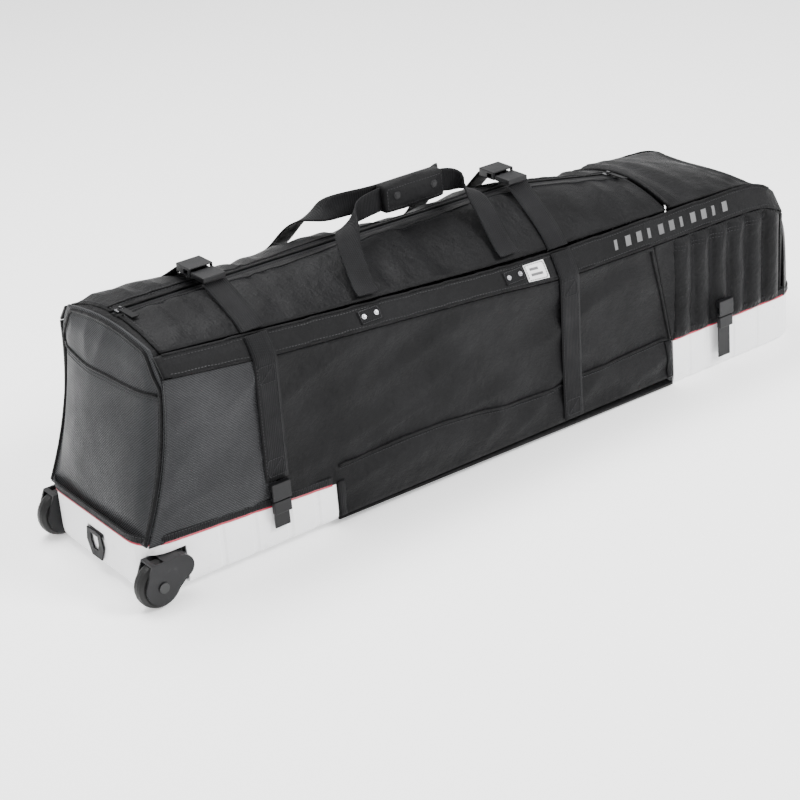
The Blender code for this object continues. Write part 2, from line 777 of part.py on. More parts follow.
def build_handles():
    left, right = HANDLE_LEGS_X
    start, end = GRIP_X
    for side_name, side, grip_y in (("near", -1, 0.0150), ("far", 1, 0.0026)):
        points = [
            (left, 0.1262, hinge_point(left, side).z + 0.0012), (left + 0.003, 0.107, 0.3510),
            (left + 0.016, 0.062, 0.3960), (left + 0.052, 0.026, 0.4150), (start + 0.004, grip_y, GRIP_Z),
            ((start + end) / 2, grip_y, GRIP_Z), (end - 0.004, grip_y, GRIP_Z),
            (end + 0.024, 0.028, 0.4120), (right, 0.062, 0.3860), (right, 0.107, 0.3350),
            (right, 0.1262, hinge_point(right, side).z + 0.0012),
        ]
        width_way = [(1, 0, 0), (1, 0, 0), (1, 0, 0.15), (0.6, 0, 0.8), (0, 0, 1), (0, 0, 1), (0, 0, 1)]
        width_way += [(-0.5, 0, 0.8), (-1, 0, 0.15), (-1, 0, 0), (-1, 0, 0)]
        path = smooth_path([(x, side * y, z) for x, y, z in points], 5)
        across = smooth_path(width_way, 5)
        ribbon(f"handle_{side_name}", path, across, 0.036, WEBBING, WEB)
    wrap = block(
        "handle_wrap", (start + 0.006, -0.0275, GRIP_Z - 0.0225), (end - 0.006, -0.0012, GRIP_Z + 0.0225), BLACK_FABRIC
    )
    bevelled(wrap, 0.0070, 3)
    slot = cutter_block(
        "handle_wrap_slot", (start - 0.01, -0.0172, GRIP_Z - 0.0188), (end + 0.01, -0.0128, GRIP_Z + 0.0188)
    )
    boolean(wrap, slot, "DIFFERENCE")


def band_place(x, side, share=0.5, lift=0.0):
    """A frame on the shoulder band: X along the case, Y up the band and Z out of it."""
    low = Vector((x, side * BAND_LOW_Y, along(x, BAND_LOW)))
    high = Vector((x, side * BAND_TOP_Y, along(x, BAND_TOP)))
    fall = (along(x + 0.02, BAND_LOW) - along(x - 0.02, BAND_LOW)) / 0.04
    right = Vector((-side, 0, -side * fall)).normalized()
    out = right.cross(high - low).normalized()
    up = out.cross(right)
    turn = Matrix((right, up, out)).transposed().to_4x4()
    return Matrix.Translation(low.lerp(high, share) + out * lift) @ turn


def build_rivets():
    """Each pair of rivets with the stitched patch that it goes through."""
    for side_name, side in SIDES:
        for end_name, x in (("left", HANDLE_LEGS_X[0] - 0.008), ("right", HANDLE_LEGS_X[1] - 0.003)):
            place = band_place(x, side, 0.5, 0.0026)
            name = f"handle_rivets_{side_name}_{end_name}"
            outline = [(-0.020, -0.013), (0.020, -0.013), (0.020, 0.013), (-0.020, 0.013)]
            patch = extruded(name, outline, 0.0018, place, STEEL)
            for number, offset in enumerate((-0.010, 0.010)):
                work = bmesh.new()
                bmesh.ops.create_cone(
                    work, cap_ends=True, segments=16, radius1=0.0046, radius2=0.0026, depth=0.0026
                )
                spot = place @ Matrix.Translation((offset, 0.0, 0.0016))
                bmesh.ops.transform(work, matrix=spot, verts=work.verts)
                head = make_object(f"{name}_head_{number}", work, None, CUTTERS)
                boolean(patch, head, "UNION")


def build_sliders():
    """Each slider is a plate with a bridge on the zip coil; the pull's root bar turns in the bridge's eye."""
    for name, x in (("wheel_end", LID_START + 0.012), ("head_end", LID_END - 0.014)):
        tilt = Matrix.Rotation(-math.atan(slope_of(x)), 4, "Y")
        place = Matrix.Translation((x, 0.0, along(x, RIDGE) - 0.0036)) @ tilt
        body = block(f"{name}_slider", (-0.0075, -0.0058, 0.0034), (0.0075, 0.0058, 0.0052), STEEL)
        bevelled(body, 0.0006)
        bridge = cutter_block(f"{name}_bridge", (-0.0012, -0.0028, 0.0045), (0.0012, 0.0028, 0.0090))
        eye = cutter_block(f"{name}_eye", (-0.0030, -0.0014, 0.0054), (0.0030, 0.0014, 0.0080))
        pull = block(f"{name}_zip_pull", (-0.0050, -0.0420, 0.0060), (0.0050, 0.0007, 0.0074), WEB)
        frame = cutter_block(f"{name}_pull_frame", (-0.0030, -0.0070, 0.0040), (0.0030, -0.0007, 0.0090))
        for made in (body, bridge, eye, pull, frame):
            made.data.transform(place)
        boolean(body, bridge, "UNION")
        boolean(body, eye, "DIFFERENCE")
        boolean(pull, frame, "DIFFERENCE")
        PIVOTS[f"{name}_slider"] = place @ Vector((0.0, 0.0, 0.0034))
        PIVOTS[f"{name}_zip_pull"] = place @ Vector((0.0, 0.0, 0.0067))


def slope_of(x):
    """The ridge's slope at x."""
    return (along(x + 0.01, RIDGE) - along(x - 0.01, RIDGE)) / 0.02


def build_grab_handle():
    """The flat webbing loop on the wheel end's wall."""
    outer = [(0.024, -0.018), (0.020, 0.0)]
    inner = [(0.010, 0.0), (0.011, -0.016), (0.006, -0.027)]
    outline = [(-y, z) for y, z in reversed(outer)] + [(-0.014, -0.040), (0.014, -0.040)] + outer
    outline += inner + [(-y, z) for y, z in reversed(inner)]
    turn = Matrix(((0, 0, 1), (1, 0, 0), (0, 1, 0))).to_4x4()
    place = Matrix.Translation((-HALF_LENGTH - 0.0030, 0.0, 0.0640)) @ turn
    bar = cutter_block(
        "grab_handle_bar", (-HALF_LENGTH - 0.0042, -0.020, 0.0610), (-HALF_LENGTH - 0.0018, 0.020, 0.0670)
    )
    loop = extruded("end_grab_handle", outline, 0.0024, place, WEB)
    boolean(loop, bar, "UNION")


def hinge_point(x, side):
    """A point of a lid's hinge line, which runs along the top of the shoulder band."""
    return Vector((x, side * BAND_TOP_Y, along(x, (HINGE_START, HINGE_END))))


def set_pivots():
    """Gives each moving piece its origin on its joint's axis."""
    for side_name, side in SIDES:
        for name in ("wheel_end_top_strap", "middle_top_strap", "lid", "zip_half", "handle"):
            made_name = f"{name}_{side_name}"
            PIVOTS[made_name] = hinge_point(HINGE_START[0], side)
        for name, x, out in (("wheel_end", WHEEL_STRAP_X, 0.1492), ("head_end", HEAD_STRAP_X, 0.1555)):
            PIVOTS[f"{name}_tray_plug_{side_name}"] = Vector((x, side * out, 0.090))
    PIVOTS["handle_wrap"] = hinge_point(HINGE_START[0], -1)
    for name, x in (("wheel_end", WHEEL_STRAP_X), ("middle", MIDDLE_STRAP_X)):
        PIVOTS[f"{name}_top_plug"] = Vector((x, 0.0, along(x, RIDGE) + BUCKLE_RISE))
        PIVOTS[f"{name}_top_socket"] = hinge_point(HINGE_START[0], 1)
    PIVOTS["end_grab_handle"] = Vector((-HALF_LENGTH - 0.0030, 0.0, 0.0640))
    for name, pivot in PIVOTS.items():
        made = bpy.data.objects[name]
        made.data.transform(Matrix.Translation(made.location - pivot))
        made.location = pivot


def centre_length():
    """Puts X = 0 halfway along the whole case, wheels and straps included."""
    for made in bpy.data.objects:
        made.location.x += CENTRING


PIVOTS = {}
build_trays()
build_fabric()
build_end_panels()
build_roof()
build_wheels()
build_side_straps()
build_top_straps()
build_tray_straps()
build_handles()
build_rivets()
build_sliders()
build_grab_handle()
set_pivots()
centre_length()
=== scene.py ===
"""The looks of a wheeled golf travel case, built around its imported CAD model. Metres, +Z up."""

import json
import math

import bmesh
import bpy
from mathutils import Matrix, Vector, kdtree, noise
from mathutils.bvhtree import BVHTree

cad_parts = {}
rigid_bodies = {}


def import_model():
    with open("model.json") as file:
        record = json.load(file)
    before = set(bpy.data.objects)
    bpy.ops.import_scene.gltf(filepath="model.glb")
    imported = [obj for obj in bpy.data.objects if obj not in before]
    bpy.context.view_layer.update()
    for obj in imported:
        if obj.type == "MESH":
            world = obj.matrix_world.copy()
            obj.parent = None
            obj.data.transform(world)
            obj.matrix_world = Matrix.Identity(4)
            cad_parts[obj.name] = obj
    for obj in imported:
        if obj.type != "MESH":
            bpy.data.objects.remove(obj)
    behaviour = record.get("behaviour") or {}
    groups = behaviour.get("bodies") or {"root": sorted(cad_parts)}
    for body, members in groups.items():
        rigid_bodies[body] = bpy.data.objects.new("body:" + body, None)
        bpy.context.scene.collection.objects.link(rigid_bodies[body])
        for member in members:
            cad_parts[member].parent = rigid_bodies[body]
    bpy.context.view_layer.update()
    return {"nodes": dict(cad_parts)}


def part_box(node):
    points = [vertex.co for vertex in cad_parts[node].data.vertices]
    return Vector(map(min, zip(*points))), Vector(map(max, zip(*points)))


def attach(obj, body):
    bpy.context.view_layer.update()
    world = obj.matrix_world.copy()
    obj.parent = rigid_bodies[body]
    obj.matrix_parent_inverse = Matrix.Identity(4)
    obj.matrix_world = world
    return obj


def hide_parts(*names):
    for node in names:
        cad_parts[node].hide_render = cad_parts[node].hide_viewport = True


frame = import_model()
NODES = frame["nodes"]
WALL_LOW, WALL_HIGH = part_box("wheel_end_panel")
HEAD_SIDE_LOW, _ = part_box("head_end_side_near")
WALL_TOP_X = WALL_LOW.x + 0.0630
SIDES = (("near", -1), ("far", 1))
CENTRING = 0.01075  # how far the case was moved along X to stand over the origin

# How often the weaves repeat, and the sizes of sewn details.
WEAVE_PITCH = 0.0022
TWILL_PITCH = 0.0042
RIB_PITCH = 0.0030
RUFFLE_X = -0.485
STITCH_PITCH = 0.0052
STITCH_LENGTH = 0.0034
STITCH_WIDTH = 0.0009
PIPING_RADIUS = 0.0024
QUILT_START, QUILT_END = 0.352 + CENTRING, 0.592 + CENTRING
QUILT_CHANNELS = 6
STRAP_ROW_OFFSET = 0.0155
STRAP_BOX_HALF = 0.0130
LABEL_LEFT, LABEL_RIGHT = 0.068, 0.108
PRINT_START, PRINT_END = 0.245, 0.500
PRINT_BARS = 11

# Round studs as stacked discs: (radius, top radius, depth, lift off the surface).
RIVET_DISCS = ((0.0040, 0.0036, 0.0012, 0.0004), (0.0026, 0.0016, 0.0012, 0.0014))
SNAP_DISCS = ((0.0062, 0.0054, 0.0014, 0.0005), (0.0040, 0.0032, 0.0014, 0.0013))
RIVET_OFFSET = 0.0110


def mesh_of(work, name):
    """The bmesh as a new mesh."""
    mesh = bpy.data.meshes.new(name)
    work.to_mesh(mesh)
    work.free()
    return mesh


# ---------------------------------------------------------------- camera, light and floor


def add_camera():
    """The camera stands off the near side's wheel end and looks a little down."""
    azimuth, elevation, roll = math.radians(-35.978), math.radians(23.598), math.radians(-4.305)
    distance = 3.200
    target = Vector((CENTRING, 0.0, 0.180))
    level = math.cos(elevation)
    back = Vector((math.sin(azimuth) * level, -math.cos(azimuth) * level, math.sin(elevation)))
    right = (-back).cross(Vector((0, 0, 1))).normalized()
    up = right.cross(-back)
    turned_right = right * math.cos(roll) + up * math.sin(roll)
    turned_up = up * math.cos(roll) - right * math.sin(roll)
    data = bpy.data.cameras.new("camera")
    data.lens = 92.507
    data.sensor_width = 36.0
    data.shift_x = -0.05636
    data.shift_y = -0.09506
    data.clip_start = 0.05
    camera = bpy.data.objects.new("camera", data)
    axes = Matrix((turned_right, turned_up, back)).transposed().to_4x4()
    camera.matrix_world = Matrix.Translation(target + back * distance) @ axes
    bpy.context.scene.collection.objects.link(camera)
    bpy.context.scene.camera = camera


def add_light(name, place, size, power):
    data = bpy.data.lights.new(name, "AREA")
    data.shape = "RECTANGLE"
    data.size, data.size_y = size
    data.energy = power
    light = bpy.data.objects.new(name, data)
    light.location = place
    light.rotation_euler = (Vector((0, 0, 0.15)) - Vector(place)).to_track_quat("-Z", "Y").to_euler()
    bpy.context.scene.collection.objects.link(light)


def add_stage():
    world = bpy.data.worlds.new("studio")
    world.use_nodes = True
    shade = world.node_tree.nodes["Background"]
    shade.inputs["Color"].default_value = (1.0, 1.0, 1.0, 1.0)
    shade.inputs["Strength"].default_value = 1.05
    bpy.context.scene.world = world
    add_light("key", (1.5, -2.6, 2.7), (1.4, 1.0), 210.0)
    add_light("top", (-0.5, 0.9, 3.0), (2.6, 1.2), 170.0)
    add_light("wheel_end", (-3.0, -0.6, 1.4), (0.8, 0.8), 18.0)
    work = bmesh.new()
    bmesh.ops.create_grid(work, x_segments=1, y_segments=1, size=6.0)
    mesh = mesh_of(work, "floor")
    floor = bpy.data.objects.new("floor", mesh)
    bpy.context.scene.collection.objects.link(floor)
    paper = bpy.data.materials.new("floor_paper")
    paper.use_nodes = True
    shader = paper.node_tree.nodes["Principled BSDF"]
    shader.inputs["Base Color"].default_value = (0.97, 0.97, 0.97, 1.0)
    shader.inputs["Roughness"].default_value = 0.9
    shader.inputs["Emission Color"].default_value = (1.0, 1.0, 1.0, 1.0)
    shader.inputs["Emission Strength"].default_value = 0.45
    mesh.materials.append(paper)


# ---------------------------------------------------------------- materials


class Look:
    """A Principled material and the nodes added to it."""

    def __init__(self, name, roughness, specular=0.5, metallic=0.0):
        self.material = bpy.data.materials.new(name)
        self.material.use_nodes = True
        self.tree = self.material.node_tree
        self.shader = self.tree.nodes["Principled BSDF"]
        self.shader.inputs["Roughness"].default_value = roughness
        self.shader.inputs["Specular IOR Level"].default_value = specular
        self.shader.inputs["Metallic"].default_value = metallic

    def node(self, kind, inputs=(), **settings):
        made = self.tree.nodes.new(kind)
        for key, value in settings.items():
            setattr(made, key, value)
        for key, value in dict(inputs).items():
            if isinstance(value, bpy.types.NodeSocket):
                self.tree.links.new(value, made.inputs[key])
            else:
                made.inputs[key].default_value = value
        return made

    def math(self, operation, first, second=0.0):
        return self.node("ShaderNodeMath", {0: first, 1: second}, operation=operation).outputs[0]

    def place(self, kind="UV"):
        return self.node("ShaderNodeTexCoord").outputs[kind]

    def noise(self, scale, detail=3.0, roughness=0.55, where="Object"):
        inputs = {"Vector": self.place(where), "Scale": scale, "Detail": detail, "Roughness": roughness}
        return self.node("ShaderNodeTexNoise", inputs).outputs["Fac"]

    def mix(self, share, low, high):
        made = self.node("ShaderNodeMix", data_type="RGBA")
        self.tree.links.new(share, made.inputs[0])
        for socket, colour in ((made.inputs[6], low), (made.inputs[7], high)):
            if isinstance(colour, bpy.types.NodeSocket):
                self.tree.links.new(colour, socket)
            else:
                socket.default_value = (*colour, 1.0)
        return made.outputs[2]

    def ramp(self, value, low, high):
        """value taken from low..high to 0..1."""
        inputs = {"Value": value, "From Min": low, "From Max": high}
        return self.node("ShaderNodeMapRange", inputs).outputs["Result"]

    def colour(self, value):
        self.tree.links.new(value, self.shader.inputs["Base Color"])

    def rough(self, value):
        self.tree.links.new(value, self.shader.inputs["Roughness"])

    def bump(self, height, depth, strength=1.0, under=None):
        inputs = {"Strength": strength, "Distance": depth, "Height": height}
        made = self.node("ShaderNodeBump", inputs)
        if under:
            self.tree.links.new(under, made.inputs["Normal"])
        return made.outputs["Normal"]

    def normal(self, value):
        self.tree.links.new(value, self.shader.inputs["Normal"])

    def waves(self, pitch, axis, shift=0.0):
        """Rounded ridges of this pitch across a UV axis."""
        parts = self.node("ShaderNodeSeparateXYZ", {"Vector": self.place()})
        turns = self.math("MULTIPLY", parts.outputs[axis], 2 * math.pi / pitch)
        return self.math("SINE", self.math("ADD", turns, shift))

    def slanted(self, pitch):
        """Rounded ridges that climb at 45 degrees, as in a twill."""
        parts = self.node("ShaderNodeSeparateXYZ", {"Vector": self.place()})
        sum_uv = self.math("ADD", parts.outputs["X"], parts.outputs["Y"])
        return self.math("SINE", self.math("MULTIPLY", sum_uv, 2 * math.pi / pitch))


def woven(name, dark, light, pitch, roughness, sheen, depth=0.0004, crumple=0.0022, diagonal=False):
    """A woven fabric: crossing threads, uneven dye, painted shade in the hollows between the threads, and
    small creases.
    """
    look = Look(name, roughness, 0.10)
    look.shader.inputs["Sheen Weight"].default_value = sheen
    look.shader.inputs["Sheen Roughness"].default_value = 0.45
    warp = look.waves(pitch, "X")
    weft = look.waves(pitch, "Y")
    if diagonal:
        threads = look.slanted(pitch)
    else:
        threads = look.math("MULTIPLY", warp, weft)
    threads = look.ramp(threads, -1.0, 1.0)
    cloud = look.noise(9.0, 4.0)
    fine = look.noise(160.0, 2.0)
    base = look.mix(look.ramp(cloud, 0.30, 0.72), dark, light)
    # painted shade: the hollows between the threads are darkened, broken up by fine noise
    hollow_shade_colour = tuple(value * 0.55 for value in dark)
    hollow_shade_mask = look.math("ADD", threads, look.math("MULTIPLY", fine, 0.6))
    look.colour(look.mix(look.ramp(hollow_shade_mask, 0.15, 1.0), hollow_shade_colour, base))
    smoothest = -0.6 / roughness * 0.35
    look.rough(look.ramp(look.noise(14.0, 3.0), smoothest, 1.6))
    creases = look.bump(look.noise(26.0, 4.0, 0.6), crumple, 0.75)
    look.normal(look.bump(threads, depth, 0.8, creases))
    return look.material


def webbing_look():
    """Polypropylene webbing: ribs along its length and a fine cross weave, with painted shade in the weave's
    hollows.
    """
    look = Look("black_webbing", 0.6, 0.10)
    look.shader.inputs["Sheen Weight"].default_value = 0.02
    ribs = look.waves(RIB_PITCH, "X")
    cross = look.waves(RIB_PITCH * 0.5, "Y")
    weave = look.ramp(look.math("ADD", ribs, look.math("MULTIPLY", cross, 0.5)), -1.5, 1.5)
    wear = look.ramp(look.noise(22.0, 4.0), 0.35, 0.75)
    base = look.mix(wear, (0.0045, 0.0045, 0.005), (0.011, 0.011, 0.012))
    # painted shade: the hollows of the weave are darkened to near black
    look.colour(look.mix(weave, (0.0025, 0.0025, 0.003), base))
    look.rough(look.ramp(look.noise(40.0), -0.5, 1.4))
    look.normal(look.bump(weave, 0.0006, 0.9))
    return look.material


def moulded(name, dark, light, roughness, grain, depth, coat=0.0, scuff=None, specular=0.5):
    """A moulded plastic: fine grain, slow colour change and scuffs."""
    look = Look(name, roughness, specular)
    look.shader.inputs["Coat Weight"].default_value = coat
    look.shader.inputs["Coat Roughness"].default_value = 0.25
    base = look.mix(look.ramp(look.noise(7.0, 4.0), 0.3, 0.7), dark, light)
    if scuff:
        marks = look.ramp(look.noise(55.0, 6.0, 0.7), 0.62, 0.80)
        base = look.mix(marks, base, scuff)
    look.colour(base)
    smoothest = 0.5 - 0.5 / roughness * 0.5
    roughest = 0.5 + (1 - roughness) * 1.4
    look.rough(look.ramp(look.noise(18.0, 4.0), smoothest, roughest))
    look.normal(look.bump(look.noise(grain, 2.0), depth, 0.6))
    return look.material


def steel_look():
    look = Look("plated_steel", 0.3, 0.5, 1.0)
    tarnish = look.ramp(look.noise(120.0, 4.0), 0.4, 0.7)
    look.colour(look.mix(tarnish, (0.16, 0.16, 0.17), (0.34, 0.34, 0.35)))
    look.rough(look.ramp(look.noise(90.0), -0.2, 1.6))
    look.normal(look.bump(look.noise(300.0), 0.0002, 0.4))
    return look.material


LOOKS = {
    "nylon": woven(
        "black_polyester", (0.0030, 0.0030, 0.0033), (0.0085, 0.0085, 0.0092), WEAVE_PITCH, 0.55, 0.01,
        crumple=0.0080,
    ),
    "twill": woven(
        "grey_coated_twill", (0.020, 0.0205, 0.022), (0.036, 0.037, 0.039), TWILL_PITCH, 0.6, 0.02,
        depth=0.0006, crumple=0.0014, diagonal=True,
    ),
    "webbing": webbing_look(),
    "shell": moulded(
        "white_moulded_shell", (0.80, 0.80, 0.81), (0.87, 0.87, 0.88), 0.42, 700.0, 0.0003,
        coat=0.15, scuff=(0.60, 0.60, 0.61),
    ),
    "plastic": moulded(
        "black_plastic", (0.005, 0.005, 0.0055), (0.010, 0.010, 0.011), 0.42, 900.0, 0.0002,
        scuff=(0.025, 0.025, 0.026), specular=0.22,
    ),
    "rubber": moulded(
        "black_tyre", (0.005, 0.005, 0.005), (0.011, 0.011, 0.011), 0.75, 500.0, 0.0004,
        scuff=(0.040, 0.038, 0.036), specular=0.2,
    ),
    "hub": moulded(
        "dark_hub", (0.012, 0.0125, 0.013), (0.022, 0.0225, 0.023), 0.5, 900.0, 0.0002,
        scuff=(0.05, 0.05, 0.05), specular=0.3,
    ),
    "steel": steel_look(),
    "piping": moulded("red_piping", (0.30, 0.012, 0.03), (0.42, 0.02, 0.05), 0.5, 600.0, 0.0002),
    "thread": moulded(
        "grey_thread", (0.018, 0.018, 0.019), (0.036, 0.036, 0.038), 0.7, 900.0, 0.0001, specular=0.1,
    ),
    "print": moulded(
        "grey_print", (0.085, 0.085, 0.087), (0.13, 0.13, 0.132), 0.5, 500.0, 0.0001, specular=0.2,
    ),
    "label": moulded("white_label", (0.62, 0.62, 0.62), (0.74, 0.74, 0.74), 0.6, 500.0, 0.0001),
}


# ---------------------------------------------------------------- mesh helpers


def lay_uvs(mesh):
    """UVs in metres, laid flat from the side that each face looks to."""
    layer = mesh.uv_layers.new(name="flat") if not mesh.uv_layers else mesh.uv_layers[0]
    for face in mesh.polygons:
        normal = face.normal
        sizes = [abs(value) for value in normal]
        axis = sizes.index(max(sizes))
        for loop in face.loop_indices:
            x, y, z = mesh.vertices[mesh.loops[loop].vertex_index].co
            layer.data[loop].uv = ((y, z), (x, z), (x, y))[axis]


def add_piece(name, mesh, look, body="case", smooth=True, uvs=True):
    piece = bpy.data.objects.new(name, mesh)
    bpy.context.scene.collection.objects.link(piece)
    mesh.materials.clear()
    mesh.materials.append(LOOKS[look])
    mesh.polygons.foreach_set("use_smooth", [smooth] * len(mesh.polygons))
    if uvs:
        lay_uvs(mesh)
    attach(piece, body)
    return piece


def welded(node):
    """A CAD node's mesh with its split vertices joined and its triangles paired into quads again."""
    work = bmesh.new()
    work.from_mesh(NODES[node].data)
    bmesh.ops.remove_doubles(work, verts=work.verts, dist=0.00002)
    bmesh.ops.join_triangles(
        work, faces=work.faces, angle_face_threshold=math.radians(25), angle_shape_threshold=math.radians(70)
    )
    return work


def subdivided(work, levels, crease_angle=40.0):
    """A smooth, finer mesh of the shape, with its sharp edges kept."""
    layers = work.edges.layers.float
    crease = layers.get("crease_edge") or layers.new("crease_edge")
    for edge in work.edges:
        sharp = len(edge.link_faces) != 2 or edge.calc_face_angle(0.0) > math.radians(crease_angle)
        edge[crease] = 1.0 if sharp else 0.0
    mesh = mesh_of(work, "base")
    holder = bpy.data.objects.new("base", mesh)
    bpy.context.scene.collection.objects.link(holder)
    modifier = holder.modifiers.new("smooth", "SUBSURF")
    modifier.levels = levels
    modifier.render_levels = levels
    fine = bpy.data.meshes.new_from_object(holder.evaluated_get(bpy.context.evaluated_depsgraph_get()))
    bpy.data.objects.remove(holder)
    return fine


def point_tree(points):
    tree = kdtree.KDTree(len(points))
    for number, point in enumerate(points):
        tree.insert(point, number)
    tree.balance()
    return tree


def rim_tree(work, angle=40.0):
    """The points along a sheet's cut edges, for fading its folds out towards the seams."""
    points = []
    for edge in work.edges:
        if len(edge.link_faces) != 2 or edge.calc_face_angle(0.0) > math.radians(angle):
            first, last = (vert.co for vert in edge.verts)
            points += line(first, last, 0.006, fewest=1)
    return point_tree(points)


def fabric(node, look, body, fold, out, levels=3, fade=0.022):
    """Stands for a CAD fabric panel: its smooth surface with folds, which die out at the seams.
    """
    work = welded(node)
    tree = rim_tree(work)
    mesh = subdivided(work, levels)
    out = Vector(out)
    for vertex in mesh.vertices:
        distance = tree.find(vertex.co)[2]
        share = min(distance / fade, 1.0)
        share = share * share * (3 - 2 * share)
        vertex.co += out * fold(vertex.co) * share
    piece = add_piece(f"{node}_fabric", mesh, look, body)
    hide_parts(node)
    return piece


def folds(point, stretch, seed, ridged=True):
    """A value near -1..1 that varies like creased cloth. stretch is how often it changes along each axis."""
    x, y, z = point
    place = Vector((x * stretch[0] + seed, y * stretch[1] - seed, z * stretch[2] + 0.5 * seed))
    wander = noise.noise(place * 0.5 + Vector((7.1, 3.3, 1.7)))
    value = noise.noise(place + Vector((wander, wander, wander)))
    return 1.0 - 2.6 * abs(value) if ridged else 1.6 * value


# ---------------------------------------------------------------- seams and trims


def sweep(name, path, outs, profile, look, body="case", closed=False):
    """A profile of (out, across) points carried along a path. outs holds each point's way off the case."""
    work = bmesh.new()
    rings = []
    last = len(path) - 1
    for i, point in enumerate(path):
        ahead = path[(i + 1) % len(path)] if closed else path[min(i + 1, last)]
        behind = path[i - 1] if closed or i else path[0]
        forward = (ahead - behind).normalized()
        out = (outs[i] - forward * outs[i].dot(forward)).normalized()
        across = forward.cross(out)
        rings.append([work.verts.new(point + out * a + across * b) for a, b in profile])
    pairs = list(zip(rings, rings[1:])) + ([(rings[-1], rings[0])] if closed else [])
    for here, after in pairs:
        for i in range(len(profile)):
            j = (i + 1) % len(profile)
            work.faces.new((here[i], here[j], after[j], after[i]))
    if not closed:
        work.faces.new(rings[0])
        work.faces.new(list(reversed(rings[-1])))
    bmesh.ops.recalc_face_normals(work, faces=work.faces)
    return add_piece(name, mesh_of(work, name), look, body)


def round_profile(radius, out=0.0, sides=8):
    angles = [2 * math.pi * step / sides for step in range(sides)]
    return [(out + radius * math.cos(angle), radius * math.sin(angle)) for angle in angles]


def flat_profile(width, thickness, out=0.0):
    """A strip with rounded long edges."""
    half, edge = width / 2, min(thickness / 2, width / 4)
    return [
        (out, -half + edge), (out, half - edge), (out + thickness * 0.5, half),
        (out + thickness, half - edge), (out + thickness * 1.08, 0.0), (out + thickness, -half + edge),
        (out + thickness * 0.5, -half),
    ]


def tree_of(*pieces):
    """A surface to cast rays at, made of the pieces' final meshes."""
    points, faces = [], []
    for piece in pieces:
        start = len(points)
        points += [vertex.co.copy() for vertex in piece.data.vertices]
        faces += [[start + index for index in face.vertices] for face in piece.data.polygons]
    return BVHTree.FromPolygons(points, faces)


def cast(tree, point, direction, reach=0.12):
    """The first surface met on the way through point, as (place, outward normal), or None."""
    direction = Vector(direction).normalized()
    place, normal, _, _ = tree.ray_cast(Vector(point) - direction * reach, direction, 2 * reach)
    if place is None:
        return None
    return place, (normal if normal.dot(direction) < 0 else -normal)


def trace(tree, points, direction):
    """Where a line of points meets the surface: (path, outs). Points that miss are left out."""
    found = [cast(tree, point, direction) for point in points]
    found = [hit for hit in found if hit]
    return [hit[0] for hit in found], [hit[1] for hit in found]


def even(points, pitch):
    """Points at equal steps along a polyline."""
    made, carried = [points[0].copy()], 0.0
    for first, last in zip(points, points[1:]):
        length = (last - first).length
        position = pitch - carried
        while position <= length:
            made.append(first.lerp(last, position / length))
            position += pitch
        carried = length - (position - pitch)
    return made


def line(first, last, pitch=0.008, fewest=2):
    """Points from first to last, about a pitch apart."""
    first, last = Vector(first), Vector(last)
    count = max(fewest, int((last - first).length / pitch))
    return [first.lerp(last, number / count) for number in range(count + 1)]


def stitches(name, path, outs, body="case", pitch=STITCH_PITCH):
    """A row of separate thread stitches lying on the surface."""
    work = bmesh.new()
    spots = even(path, pitch)
    tree = point_tree(path)
    for here, after in zip(spots, spots[1:]):
        forward = (after - here).normalized()
        out = outs[tree.find(here)[1]]
        out = (out - forward * out.dot(forward)).normalized()
        across = forward.cross(out)
        middle = (here + after) / 2
        corners = []
        for a, b in ((-1, -1), (1, -1), (1, 1), (-1, 1)):
            corners.append(middle + forward * a * STITCH_LENGTH / 2 + across * b * STITCH_WIDTH / 2)
        low = [work.verts.new(corner - out * 0.0004) for corner in corners]
        high = [work.verts.new(corner.lerp(middle, 0.15) + out * 0.0006) for corner in corners]
        work.faces.new(high)
        work.faces.new(list(reversed(low)))
        for i in range(4):
            j = (i + 1) % 4
            work.faces.new((low[i], low[j], high[j], high[i]))
    bmesh.ops.recalc_face_normals(work, faces=work.faces)
    return add_piece(name, mesh_of(work, name), "thread", body, smooth=False)


def seam(name, tree, points, direction, body="case", rows=(), radius=0.0):
    """A sewn seam on a surface: a raised cord of this radius, and a row of stitches at each offset."""
    path, outs = trace(tree, points, direction)
    if len(path) < 3:
        return
    if radius:
        sweep(f"{name}_cord", path, outs, round_profile(radius, radius * 0.35, 6), "nylon", body)
    for number, shift in enumerate(rows):
        moved = []
        last = len(path) - 1
        for i, point in enumerate(path):
            forward = (path[min(i + 1, last)] - path[max(i - 1, 0)]).normalized()
            moved.append(point + forward.cross(outs[i]) * shift)
        row, row_outs = trace(tree, moved, direction)
        if len(row) > 2:
            stitches(f"{name}_stitches_{number}", row, row_outs, body)


# ---------------------------------------------------------------- fabric body


def seam_tuck(point):
    """The skin is pulled in along the long low seam, and stands out under it."""
    away = point.z - seam_height(point.x)
    return 0.0035 * math.exp(-((away / 0.011) ** 2)) - 0.0030 * math.exp(-(((away + 0.034) / 0.020) ** 2))


def side_fold(point):
    """The big side panels: slack diagonal folds and finer creases."""
    broad = folds(point, (3.2, 0.0, 6.5), 1.0, ridged=False)
    slant = Vector((point.x + point.z * 0.9, point.y, point.z - point.x * 0.35))
    creases = folds(slant, (4.0, 0.0, 16.0), 4.0)
    return 0.0058 * broad + 0.0040 * creases - seam_tuck(point)


def lid_fold(point):
    """The lids: gathers that run down from the zip, and broad dents."""
    broad = folds(point, (7.0, 5.0, 4.0), 2.0, ridged=False)
    gathers = folds(point, (24.0, 3.0, 3.0), 6.0)
    along, across = (point.x - RUFFLE_X) / 0.055, (abs(point.y) - 0.045) / 0.030
    ruffle = math.exp(-(along ** 2)) * math.exp(-(across ** 2))
    return 0.0058 * broad + 0.0038 * gathers + 0.0050 * ruffle * math.sin(point.x * 420.0)


def end_fold(point):
    broad = folds(point, (1.0, 6.0, 5.0), 3.0, ridged=False)
    return 0.0035 * broad + 0.0014 * folds(point, (1.0, 9.0, 9.0), 8.0)


